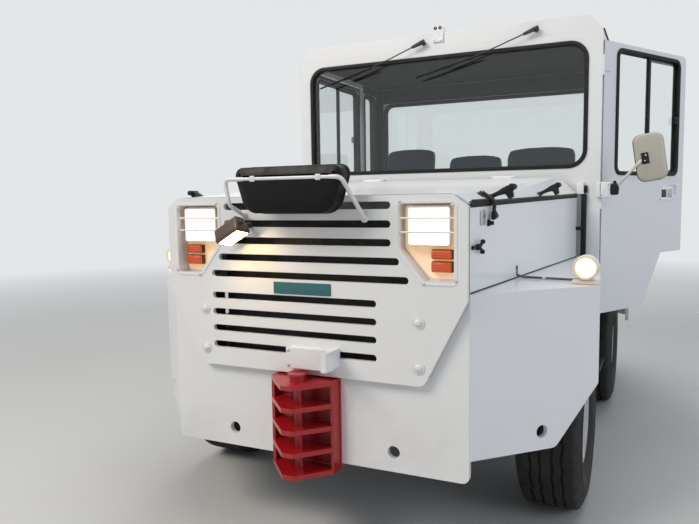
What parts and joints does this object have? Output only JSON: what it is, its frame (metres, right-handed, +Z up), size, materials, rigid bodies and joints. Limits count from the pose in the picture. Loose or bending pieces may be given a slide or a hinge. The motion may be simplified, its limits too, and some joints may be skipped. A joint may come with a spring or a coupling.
{
  "type": "aircraft pushback tractor",
  "caption": "Conventional aircraft pushback tractor with a slotted grille and hood in front of a full-width cab, red multi-jaw tow coupling and steered front wheels.",
  "frame": {"origin": "on the floor, midway between the right side and the open left door's edge, and midway between the front mirror and the rear coupling", "axes": "+Y from the grille to the rear, +X to the tractor's left, +Z up"},
  "size_m": [2.6462, 4.2085, 2.66],
  "materials": {
    "white_paint": "gloss",
    "chassis_black": "satin",
    "tyre_rubber": "matte",
    "window_glass": "clear",
    "radiator_black": "matte",
    "engine_grey": "rough",
    "black_plastic": "satin",
    "seat_fabric": "woven",
    "coupling_red": "gloss",
    "lamp_lens": "clear",
    "amber_lens": "gloss",
    "red_lens": "gloss",
    "brown_paint": "satin",
    "cream_plastic": "satin"
  },
  "bodies": {
    "chassis": {"frame_rails": "chassis_black", "springs": "chassis_black", "front_plate": "white_paint", "wing_plates": "white_paint", "ledges": "white_paint", "grille_panel": "white_paint", "radiator": "radiator_black", "engine_block": "engine_grey", "propshaft": "engine_grey", "front_axle": "chassis_black", "rear_axle": "chassis_black", "hood_sides": "white_paint", "cab_floor": "chassis_black", "cab_steps": "chassis_black", "cab_front": "white_paint", "cab_sides": "white_paint", "cab_rear": "white_paint", "cab_roof": "white_paint", "cab_glass": "window_glass", "dashboard": "black_plastic", "steering_wheel": "black_plastic", "seats": "seat_fabric", "rear_body": "white_paint", "front_coupling": "coupling_red", "coupling_pin": "coupling_red", "rear_coupling": "coupling_red", "lamp_lenses": "lamp_lens", "turn_lamps": "amber_lens", "tail_lamps": "red_lens", "work_lamp": "brown_paint", "front_mirror": "black_plastic", "side_mirror": "cream_plastic", "wipers": "black_plastic"},
    "knuckle_left": {"knuckle_left": "chassis_black"},
    "knuckle_right": {"knuckle_right": "chassis_black"},
    "wheel_fl": {"tyre_fl": "tyre_rubber", "rim_fl": "white_paint"},
    "wheel_fr": {"tyre_fr": "tyre_rubber", "rim_fr": "white_paint"},
    "wheel_rl": {"tyre_rl": "tyre_rubber", "rim_rl": "white_paint"},
    "wheel_rr": {"tyre_rr": "tyre_rubber", "rim_rr": "white_paint"},
    "left_door": {"door_left": "white_paint", "door_left_glass": "window_glass"},
    "right_door": {"door_right": "white_paint", "door_right_glass": "window_glass"},
    "hood": {"hood_lid": "white_paint"}
  },
  "joints": [
    {"name": "steer_left", "type": "hinge", "parent": "chassis", "child": "knuckle_left", "pos_m": [0.60729, -1.006, 0.42], "axis": [0, 0, 1], "range_deg": [-30, 30]},
    {"name": "steer_right", "type": "hinge", "parent": "chassis", "child": "knuckle_right", "pos_m": [-0.95871, -1.006, 0.42], "axis": [0, 0, 1], "range_deg": [-30, 30]},
    {"name": "spin_fl", "type": "hinge", "parent": "knuckle_left", "child": "wheel_fl", "pos_m": [0.75729, -1.006, 0.42], "axis": [1, 0, 0], "continuous": true},
    {"name": "spin_fr", "type": "hinge", "parent": "knuckle_right", "child": "wheel_fr", "pos_m": [-1.10871, -1.006, 0.42], "axis": [1, 0, 0], "continuous": true},
    {"name": "spin_rl", "type": "hinge", "parent": "chassis", "child": "wheel_rl", "pos_m": [0.75729, 0.894, 0.42], "axis": [1, 0, 0], "continuous": true},
    {"name": "spin_rr", "type": "hinge", "parent": "chassis", "child": "wheel_rr", "pos_m": [-1.10871, 0.894, 0.42], "axis": [1, 0, 0], "continuous": true},
    {"name": "open_left_door", "type": "hinge", "parent": "chassis", "child": "left_door", "pos_m": [0.86029, -0.015, 1.57], "axis": [0, 0, -1], "range_deg": [-29, 46]},
    {"name": "open_right_door", "type": "hinge", "parent": "chassis", "child": "right_door", "pos_m": [-1.21171, -0.015, 1.57], "axis": [0, 0, 1], "range_deg": [0, 75]},
    {"name": "open_hood", "type": "hinge", "parent": "chassis", "child": "hood", "pos_m": [-0.17571, -0.098, 1.654], "axis": [-1, 0, 0], "range_deg": [0, 60]}
  ],
  "couplings": [
    {"joint": "steer_right", "follows": "steer_left", "ratio": 1}
  ]
}
